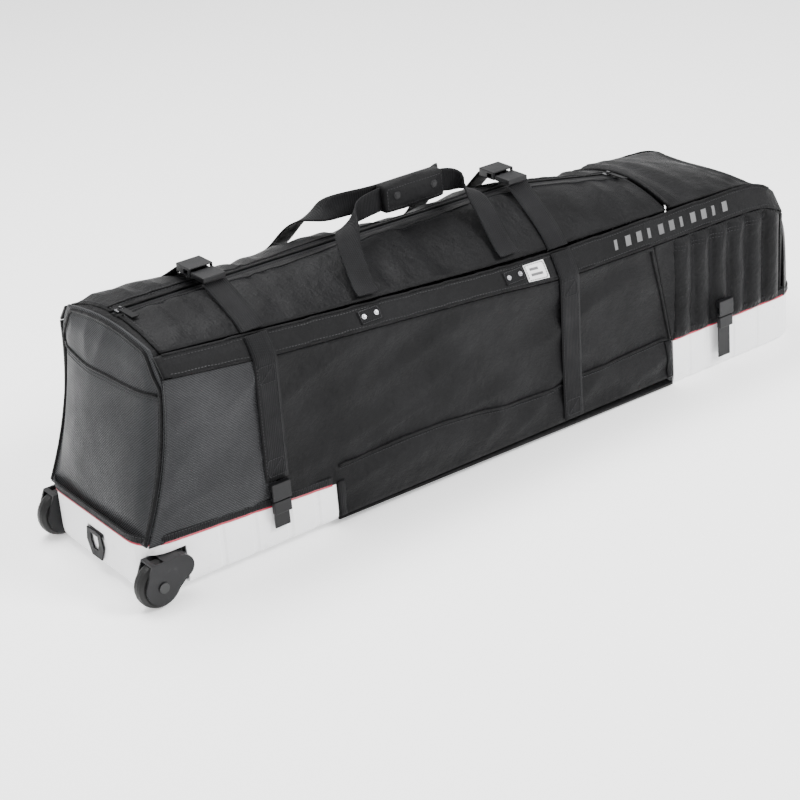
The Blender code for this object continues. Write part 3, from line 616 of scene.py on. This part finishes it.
def wall_fold(point):
    """The wheel-end wall is stuffed: it stands out most at mid-height, and has upright drapes."""
    up = min(max((point.z - WALL_LOW.z) / (WALL_HIGH.z - WALL_LOW.z), 0.0), 1.0)
    across = min(abs(point.y) / WALL_HIGH.y, 1.0)
    bulge = math.sin(math.pi * up ** 0.85) * (1.0 - across ** 3.0)
    drape = folds(point, (0.0, 11.0, 3.0), 9.0)
    return 0.020 * bulge + 0.0030 * drape * up + 0.4 * end_fold(point)


def quilt_fold(point):
    """The head end's panel: filled channels side by side, pulled in at the stitching between them."""
    share = (point.x - QUILT_START) / (QUILT_END - QUILT_START)
    channel = 0.0
    if 0 < share < 1:
        channel = 0.0075 * (abs(math.sin(QUILT_CHANNELS * math.pi * share)) ** 0.6 - 0.75)
    return channel + 0.0016 * folds(point, (18.0, 0.0, 9.0), 11.0)


def build_body():
    for side_name, side in SIDES:
        out = (0, side, 0)
        fabric(f"middle_side_{side_name}", "nylon", "case", side_fold, out)
        fabric(
            f"wheel_end_side_{side_name}", "twill", "case", lambda p: 0.5 * side_fold(p), out,
        )
        quilt = fabric(f"head_end_side_{side_name}", "nylon", "case", quilt_fold, out, fade=0.008)
        fabric(
            f"shoulder_band_{side_name}", "nylon", "case", lambda p: 0.3 * side_fold(p), (0, side * 0.5, 0.6),
        )
        lid = f"lid_{side_name}"
        fabric(lid, "nylon", lid, lid_fold, (0, side * 0.3, 0.9), 2)
    fabric("wheel_end_panel", "twill", "case", wall_fold, (-1, 0, 0), fade=0.035)
    fabric("head_end_panel", "nylon", "case", end_fold, (1, 0, 0), 2)
    fabric("head_end_roof", "nylon", "case", lid_fold, (0, 0, 1), 2)
    fabric("base_panel", "nylon", "case", lambda p: 0.0, (0, 0, 1), 1)


def closed_sheet(work, top, under):
    """The faces between two grids of points, and round their rims."""
    rows, columns = len(top) - 1, len(top[0]) - 1
    top = [[work.verts.new(point) for point in row] for row in top]
    under = [[work.verts.new(point) for point in row] for row in under]
    for i in range(rows):
        for j in range(columns):
            work.faces.new((top[i][j], top[i][j + 1], top[i + 1][j + 1], top[i + 1][j]))
            work.faces.new((under[i][j], under[i + 1][j], under[i + 1][j + 1], under[i][j + 1]))
    rim = [(0, j) for j in range(columns)] + [(i, columns) for i in range(rows)]
    rim += [(rows, j) for j in range(columns, 0, -1)] + [(i, 0) for i in range(rows, 0, -1)]
    for (i, j), (k, m) in zip(rim, rim[1:] + rim[:1]):
        work.faces.new((top[i][j], under[i][j], under[k][m], top[k][m]))
    bmesh.ops.recalc_face_normals(work, faces=work.faces)


def build_wheel_end_top():
    """The fixed fabric between the wheel-end wall and the lids, closed under the ends of the zip."""
    lid_low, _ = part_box("lid_near")
    trees = [tree_of(bpy.data.objects[f"lid_{side_name}_fabric"]) for side_name, _ in SIDES]
    half, count = 0.1225, 40
    rows = []
    for step in range(9):
        share = step / 8
        row = []
        for number in range(count + 1):
            y = half * (2 * number / count - 1)
            spot = max(abs(y), 0.010)
            probe = (lid_low.x + 0.010, math.copysign(spot, y), 0.36)
            hit = cast(trees[0 if y < 0 else 1], probe, (0, 0, -1))
            top = hit[0].z if hit else WALL_HIGH.z - 0.03
            drop = 0.0060 * share ** 2 + 0.0012 * folds((0.0, y, share), (1.0, 60.0, 3.0), 12.0)
            x = lid_low.x + 0.006 - (lid_low.x + 0.006 - WALL_TOP_X) * share
            row.append(Vector((x, y, top - 0.0030 - drop)))
        rows.append(row)
    work = bmesh.new()
    closed_sheet(work, rows, [[point - Vector((0, 0, 0.0024)) for point in row] for row in rows])
    add_piece("wheel_end_top_fabric", mesh_of(work, "wheel_end_top_fabric"), "nylon", "case")


def strap_fold(point):
    return 0.0006 * folds(point, (20, 20, 20), 5.0, ridged=False)


def build_straps():
    for side_name, side in SIDES:
        for node, body in (
            (f"wheel_end_side_strap_{side_name}", "case"), (f"middle_side_strap_{side_name}", "case"),
            (f"wheel_end_top_strap_{side_name}", f"lid_{side_name}"),
            (f"middle_top_strap_{side_name}", f"lid_{side_name}"),
            (f"handle_{side_name}", f"handle_{side_name}"),
        ):
            fabric(node, "webbing", body, strap_fold, (0, side, 0.3), 2)
    build_wrap()


def build_wrap():
    """The padded wrap round the grip, puffed up by a cloth simulation."""
    work = welded("handle_wrap")
    mesh = subdivided(work, 1)
    wrap = add_piece("handle_wrap_fabric", mesh, "nylon", "handle_near")
    puff(wrap)
    lay_uvs(wrap.data)
    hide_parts("handle_wrap")


def puff(piece, voxel=0.0022, pressure=4.0, last_frame=20, most=0.0022):
    """Blows a closed piece up with a pressure cloth simulation, and keeps no point's move above most."""
    remesh = piece.modifiers.new("even", "REMESH")
    remesh.mode = "VOXEL"
    remesh.voxel_size = voxel
    graph = bpy.context.evaluated_depsgraph_get()
    piece.data = bpy.data.meshes.new_from_object(piece.evaluated_get(graph))
    piece.modifiers.clear()
    before = [vertex.co.copy() for vertex in piece.data.vertices]
    cloth = piece.modifiers.new("cloth", "CLOTH")
    cloth.settings.use_pressure = True
    cloth.settings.uniform_pressure_force = pressure
    cloth.settings.effector_weights.gravity = 0.0
    cloth.settings.mass = 0.25
    cloth.settings.tension_stiffness = 40.0
    cloth.settings.compression_stiffness = 40.0
    cloth.point_cache.frame_start = 1
    cloth.point_cache.frame_end = last_frame
    for frame_number in range(1, last_frame + 1):
        bpy.context.scene.frame_set(frame_number)
    graph = bpy.context.evaluated_depsgraph_get()
    puffed = bpy.data.meshes.new_from_object(piece.evaluated_get(graph))
    piece.modifiers.clear()
    bpy.context.scene.frame_set(1)
    for vertex, start in zip(puffed.vertices, before):
        move = vertex.co - start
        if move.length > most:
            vertex.co = start + move.normalized() * most
    puffed.polygons.foreach_set("use_smooth", [True] * len(puffed.polygons))
    piece.data = puffed


def edge_line(tree, xs, side, top, low=0.02, high=0.46, step=0.0012):
    """The upper or lower edge of a side piece's outer face, as (path, outs)."""
    path, outs = [], []
    count = int((high - low) / step)
    for x in xs:
        for number in range(count):
            z = high - number * step if top else low + number * step
            hit = cast(tree, (x, side * 0.14, z), (0, -side, 0), 0.08)
            if hit:
                path.append(hit[0])
                outs.append(hit[1])
                break
    return path, outs


def steps(first, last, pitch):
    count = max(1, round(abs(last - first) / pitch))
    return [first + (last - first) * number / count for number in range(count + 1)]


def build_tray_trims():
    """Red piping on each tray's rim, and the black binding that joins the fabric to it."""
    for tray, centre, angles in (
        ("wheel_end_tray", -0.44, (48.0, 312.0)), ("head_end_tray", 0.48, (-133.0, 133.0)),
    ):
        low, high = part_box(tray)
        tree = tree_of(NODES[tray])
        ends = high.z - (0.018 if tray == "wheel_end_tray" else 0.0)
        path, outs = [], []
        for step in range(121):
            angle = math.radians(angles[0] + (angles[1] - angles[0]) * step / 120)
            away = Vector((math.cos(angle), math.sin(angle), 0.0))
            for height in (high.z - 0.012, high.z - 0.022):
                start = Vector((centre, 0, height)) + away * 0.5
                place, normal, _, _ = tree.ray_cast(start, -away, 0.45)
                if place is None:
                    continue
                share = (place.x - low.x) / (high.x - low.x)
                rim = high.z + (ends - high.z) * share
                if rim > height:
                    break
            if place is None:
                continue
            path.append(Vector((place.x, place.y, rim)))
            outs.append(Vector((normal.x, normal.y, 0)).normalized())
        smooth = [path[0]] + [
            (before + here * 2 + after) / 4 for before, here, after in zip(path, path[1:], path[2:])
        ] + [path[-1]]
        sweep(f"{tray}_piping", [point + Vector((0, 0, 0.0010)) for point in smooth], outs,
              round_profile(PIPING_RADIUS * 0.8, 0.0008), "piping")
        raised = [point + Vector((0, 0, 0.0088)) for point in smooth]
        sweep(f"{tray}_binding", raised, outs, flat_profile(0.0125, 0.0026, 0.0006), "webbing")
        for number, rise in enumerate((-0.0040, 0.0040)):
            row = [point + out * 0.0034 + Vector((0, 0, rise)) for point, out in zip(raised, outs)]
            stitches(f"{tray}_binding_stitches_{number}", row, outs)


def build_side_seams(trees):
    for side_name, side in SIDES:
        inward = (0, -side, 0)
        band = trees[f"shoulder_band_{side_name}"]
        low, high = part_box(f"shoulder_band_{side_name}")
        xs = steps(low.x + 0.012, high.x - 0.012, 0.012)
        for edge, top, shift in (("low", False, 0.0045), ("top", True, -0.0045)):
            path, outs = edge_line(band, xs, side, top, 0.20)
            row = [point + Vector((0, 0, shift)) for point in path]
            row, row_outs = trace(band, row, inward)
            stitches(f"band_{edge}_stitches_{side_name}", row, row_outs)
            sweep(f"band_{edge}_cord_{side_name}", path, outs, round_profile(0.0020, -0.0004, 6), "nylon")
        middle = trees[f"middle_side_{side_name}"]
        low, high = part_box(f"middle_side_{side_name}")
        start = -0.300
        wavy = [
            (x, side * 0.14, seam_height(x)) for x in steps(start, high.x - 0.010, 0.008)
        ]
        seam(f"lower_seam_{side_name}", middle, wavy, inward, rows=(0.0055,), radius=0.0026)
        slant = line((high.x - 0.005, side * 0.14, 0.088), (head_edge_x(0.250) - 0.006, side * 0.14, 0.250))
        seam(f"slant_seam_{side_name}", middle, slant, inward, radius=0.0022)
        wheel_side = trees[f"wheel_end_side_{side_name}"]
        low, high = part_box(f"wheel_end_side_{side_name}")
        seam_x = high.x - 0.022
        upright = line((seam_x, side * 0.14, low.z + 0.018), (seam_x, side * 0.14, high.z - 0.030))
        seam(f"wheel_end_upright_seam_{side_name}", wheel_side, upright, inward, rows=(0.0, 0.004))
        head = trees[f"head_end_side_{side_name}"]
        low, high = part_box(f"head_end_side_{side_name}")
        top = line((low.x + 0.045, side * 0.14, 0.240), (high.x - 0.055, side * 0.14, 0.238))
        seam(f"quilt_top_seam_{side_name}", head, top, inward, rows=(-0.003, 0.003))


def seam_height(x):
    """The long seam low on the side, which wanders where the panels were joined."""
    return 0.093 + 0.0115 * math.cos((x + 0.22) * 8.2) - 0.0035 * math.cos((x - 0.05) * 21.0)


def head_edge_x(z):
    """The slanted front of the quilted panel."""
    return HEAD_SIDE_LOW.x + 0.0375 - 0.22 * (z - 0.081)


def build_tray_ends(trees):
    """The upright binding where the fabric comes out of each tray."""
    wheel_low, wheel_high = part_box("wheel_end_tray")
    head_low, head_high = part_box("head_end_tray")
    for side_name, side in SIDES:
        tree = trees[f"middle_side_{side_name}"]
        for name, x, lean, low, high in (
            ("wheel_end", wheel_high.x + 0.0075, 0.0, wheel_low.z + 0.008, wheel_high.z - 0.014),
            ("head_end", head_low.x - 0.0090, -0.004, 0.0200, head_high.z + 0.004),
        ):
            points = line((x, side * 0.14, low), (x + lean, side * 0.14, high), 0.006)
            path, outs = trace(tree, points, (0, -side, 0))
            if len(path) > 2:
                profile = flat_profile(0.0125, 0.0028, -0.0004)
                sweep(f"{name}_tray_end_binding_{side_name}", path, outs, profile, "webbing")


def build_end_seams(trees):
    """Cords round the wheel-end wall, and the seam across its top."""
    wall = trees["wheel_end_panel"]
    low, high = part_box("wheel_end_panel")
    outline = []
    for z in steps(low.z + 0.004, high.z - 0.062, 0.010):
        outline.append(Vector((low.x, -wall_half(z), z)))
    arch = [Vector((low.x, y, arch_height(y, high.z))) for y in steps(-0.123, 0.123, 0.008)]
    far_side = [Vector((point.x, -point.y, point.z)) for point in reversed(outline)]
    outline += arch + far_side
    path, outs = trace(wall, outline, (1, 0, 0))
    sweep("wheel_end_wall_cord", path, outs, round_profile(0.0030, 0.0002, 8), "nylon")
    inner = [Vector((point.x, point.y * 0.955, point.z - 0.006)) for point in path]
    row, row_outs = trace(wall, inner, (1, 0, 0))
    stitches("wheel_end_wall_stitches", row, row_outs)
    across = line((low.x, -0.128, 0.300), (low.x, 0.128, 0.300))
    seam("wheel_end_wall_seam", wall, across, (1, 0, 0), rows=(-0.005, -0.009), radius=0.0020)


def wall_half(z):
    return WALL_HIGH.y - 0.0065 - 0.002 * (z - WALL_LOW.z)


def arch_height(y, top):
    """The top of the wheel-end wall, an arch that falls away faster at its shoulders."""
    return top - 0.006 - 0.020 * (1 - math.cos(y * math.pi / 0.28)) - max(0.0, abs(y) - 0.105) * 1.4


def build_roof_seam(trees):
    """The corded seam where the fixed roof meets the ends of the lids."""
    roof = trees["head_end_roof"]
    low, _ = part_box("head_end_roof")
    path, outs = trace(roof, [(low.x + 0.003, y, 0.34) for y in steps(-0.128, 0.128, 0.006)], (0, 0, -1))
    sweep("roof_front_cord", path, outs, round_profile(0.0034, 0.0002, 8), "nylon")


def build_zip(trees):
    """The zip: two rows of coil teeth along the ridge, on tape that the lids carry."""
    for side_name, side in SIDES:
        tape = tree_of(NODES[f"zip_half_{side_name}"])
        low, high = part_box(f"zip_half_{side_name}")
        xs = steps(low.x + 0.003, high.x - 0.003, 0.0030)
        path, outs = trace(tape, [(x, side * 0.0030, 0.36) for x in xs], (0, 0, -1))
        work = bmesh.new()
        for point, out in zip(path, outs):
            made = bmesh.ops.create_cube(work, size=1.0)["verts"]
            shape = Matrix.Diagonal((0.0017, 0.0040, 0.0014, 1.0))
            bmesh.ops.transform(work, matrix=Matrix.Translation(point + out * 0.0006) @ shape, verts=made)
        name = f"zip_teeth_{side_name}"
        add_piece(name, mesh_of(work, name), "plastic", f"lid_{side_name}", smooth=False)
        lid = trees[f"lid_{side_name}"]
        seam(f"zip_tape_seam_{side_name}", lid, [(x, side * 0.0200, 0.36) for x in xs[::3]], (0, 0, -1),
             f"lid_{side_name}", rows=(-0.003, 0.003), radius=0.0016)
        low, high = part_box(f"lid_{side_name}")
        for number, x in enumerate((low.x + 0.006, high.x - 0.006)):
            across = [(x, side * y, 0.36) for y in steps(0.014, 0.112, 0.006)]
            name = f"lid_end_seam_{number}_{side_name}"
            seam(name, lid, across, (0, 0, -1), f"lid_{side_name}", rows=(0.0,))


def patch(name, tree, corners, direction, thickness, look, body="case", rows=True):
    """A sewn-on patch: a thin sheet laid on the surface, given by four corners, with a stitched edge."""
    count = 8
    top, under = [], []
    a, b, c, d = (Vector(corner) for corner in corners)
    for i in range(count + 1):
        row = []
        for j in range(count + 1):
            point = a.lerp(b, i / count).lerp(d.lerp(c, i / count), j / count)
            row.append(cast(tree, point, direction) or (point, -Vector(direction).normalized()))
        under.append([place - normal * 0.0004 for place, normal in row])
        top.append([place + normal * thickness for place, normal in row])
    work = bmesh.new()
    closed_sheet(work, top, under)
    piece = add_piece(name, mesh_of(work, name), look, body)
    if rows:
        surface = tree_of(piece)
        centre = (a + b + c + d) / 4
        inner = [corner.lerp(centre, 0.12) for corner in (a, b, c, d)]
        loop = []
        for first, last in zip(inner, inner[1:] + inner[:1]):
            loop += line(first, last, 0.004)[:-1]
        path, outs = trace(surface, loop + [loop[0]], direction)
        stitches(f"{name}_stitches", path, outs, body, pitch=0.0042)
    return piece


def build_labels(trees):
    """A blank label with two plain bars, and a row of plain printed bars, on the near band."""
    band = trees["shoulder_band_near"]
    near = (0, 1, -0.35)

    def on_band(x, share):
        low_path, _ = edge_line(band, [x], -1, False, 0.20)
        top_path, _ = edge_line(band, [x], -1, True, 0.20)
        return low_path[0].lerp(top_path[0], share)

    def on_band_between(left, right, low, high, lean=0.0):
        ends = ((left, low), (right, low), (right + lean, high), (left + lean, high))
        return [on_band(x, share) for x, share in ends]

    corners = on_band_between(LABEL_LEFT, LABEL_RIGHT, 0.14, 0.84)
    label = patch("blank_label", band, corners, near, 0.0008, "label")
    label_tree = tree_of(label)
    margin = 0.009
    for number, share in enumerate((0.34, 0.56)):
        right = LABEL_RIGHT - margin - 0.006 * number
        corners = on_band_between(LABEL_LEFT + margin, right, share, share + 0.10)
        patch(f"blank_label_bar_{number}", label_tree, corners, near, 0.0003, "print", rows=False)
    pitch = (PRINT_END - PRINT_START) / PRINT_BARS
    for number in range(PRINT_BARS):
        x = PRINT_START + number * pitch
        width = pitch * (0.46 if number % 3 else 0.26)
        corners = on_band_between(x, x + width, 0.30, 0.68, lean=0.004)
        patch(f"printed_bar_{number:02d}", band, corners, near, 0.0004, "print", rows=False)


def add_stud(work, tree, spot, inward, discs):
    """A round stud, made of stacked discs, where a line through spot meets the surface."""
    hit = cast(tree, spot, inward)
    if not hit:
        return
    place, normal = hit
    turn = normal.to_track_quat("Z", "Y").to_matrix().to_4x4()
    for radius, top_radius, depth, lift in discs:
        made = bmesh.ops.create_cone(
            work, cap_ends=True, segments=24, radius1=radius, radius2=top_radius, depth=depth
        )
        matrix = Matrix.Translation(place + normal * lift) @ turn
        bmesh.ops.transform(work, matrix=matrix, verts=made["verts"])


def build_rivets(trees):
    """Each handle foot: a stitched patch with two steel rivets."""
    for side_name, side in SIDES:
        band = trees[f"shoulder_band_{side_name}"]
        inward = Vector((0, -side, -0.35))
        for end_name in ("left", "right"):
            node = f"handle_rivets_{side_name}_{end_name}"
            low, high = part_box(node)
            middle = (low + high) / 2
            corners = []
            for a, b in ((-1, -1), (1, -1), (1, 1), (-1, 1)):
                corners.append((middle.x + a * (high.x - low.x) * 0.46, middle.y, middle.z + b * 0.0105))
            base = patch(f"handle_patch_{side_name}_{end_name}", band, corners, inward, 0.0016, "webbing")
            surface = tree_of(base)
            work = bmesh.new()
            for offset in (-RIVET_OFFSET, RIVET_OFFSET):
                add_stud(work, surface, (middle.x + offset, middle.y, middle.z), inward, RIVET_DISCS)
            name = f"rivets_{side_name}_{end_name}"
            rivets = add_piece(name, mesh_of(work, name), "steel", "case", smooth=False)
            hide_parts(node)


def build_strap_stitching(trees):
    """Edge rows and crossed box stitches on the webbing."""
    half = STRAP_BOX_HALF
    box = [(-half, -half), (half, -half), (half, half), (-half, half), (-half, -half), (half, half)]
    for side_name, side in SIDES:
        inward, y = (0, -side, 0), side * 0.14
        for node in (f"wheel_end_side_strap_{side_name}", f"middle_side_strap_{side_name}"):
            tree = trees[node]
            low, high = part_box(node)
            middle = (low.x + high.x) / 2
            for number, shift in enumerate((-STRAP_ROW_OFFSET, STRAP_ROW_OFFSET)):
                x = middle + shift
                path, outs = trace(tree, line((x, y, low.z + 0.006), (x, y, high.z - 0.034)), inward)
                stitches(f"{node}_row_{number}", path, outs)
            for number, height in enumerate((low.z + 0.020, high.z - 0.056)):
                loop = []
                for (u, v), (w, t) in zip(box, box[1:]):
                    loop += line((middle + u, y, height + v), (middle + w, y, height + t), 0.004)
                path, outs = trace(tree, loop, inward)
                stitches(f"{node}_box_{number}", path, outs, pitch=0.0044)


def build_wrap_details():
    """Snaps and stitching on the handle wrap."""
    wrap = tree_of(bpy.data.objects["handle_wrap_fabric"])
    low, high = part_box("handle_wrap")
    inward = (0, 1, 0)
    left, right, edge = low.x + 0.006, high.x - 0.006, 0.006
    for number, z in enumerate((low.z + 0.007, high.z - 0.007)):
        path, outs = trace(wrap, line((left, low.y, z), (right, low.y, z), 0.004), inward)
        stitches(f"wrap_row_{number}", path, outs, "handle_near")
    for number, x in enumerate((left, right)):
        path, outs = trace(wrap, line((x, low.y, low.z + edge), (x, low.y, high.z - edge), 0.004), inward)
        stitches(f"wrap_end_row_{number}", path, outs, "handle_near")
    work = bmesh.new()
    for x in (low.x + 0.022, high.x - 0.022):
        add_stud(work, wrap, (x, low.y, (low.z + high.z) / 2 + 0.004), inward, SNAP_DISCS)
    add_piece("wrap_snaps", mesh_of(work, "wrap_snaps"), "plastic", "handle_near", smooth=False)


def final_trees():
    """Surfaces of the finished fabric pieces, by the CAD node they stand for."""
    found = {}
    for piece in bpy.data.objects:
        if piece.name.endswith("_fabric"):
            found[piece.name[: -len("_fabric")]] = tree_of(piece)
    return found


def dress_nodes():
    """Better materials for the CAD nodes that stay."""
    for name, node in NODES.items():
        if "plug" in name or "socket" in name or "housing" in name:
            look = "plastic"
        elif name.endswith("_tray"):
            look = "shell"
        elif "tyre" in name:
            look = "rubber"
        elif "hub" in name or "bolt" in name:
            look = "hub"
        elif "pull" in name or "grab" in name or "zip_half" in name:
            look = "webbing"
        else:
            look = "steel"
        for slot in node.material_slots:
            slot.material = LOOKS[look]


add_camera()
add_stage()
dress_nodes()
build_body()
build_wheel_end_top()
build_straps()
TREES = final_trees()
build_tray_trims()
build_side_seams(TREES)
build_tray_ends(TREES)
build_end_seams(TREES)
build_roof_seam(TREES)
build_zip(TREES)
build_labels(TREES)
build_rivets(TREES)
build_strap_stitching(TREES)
build_wrap_details()
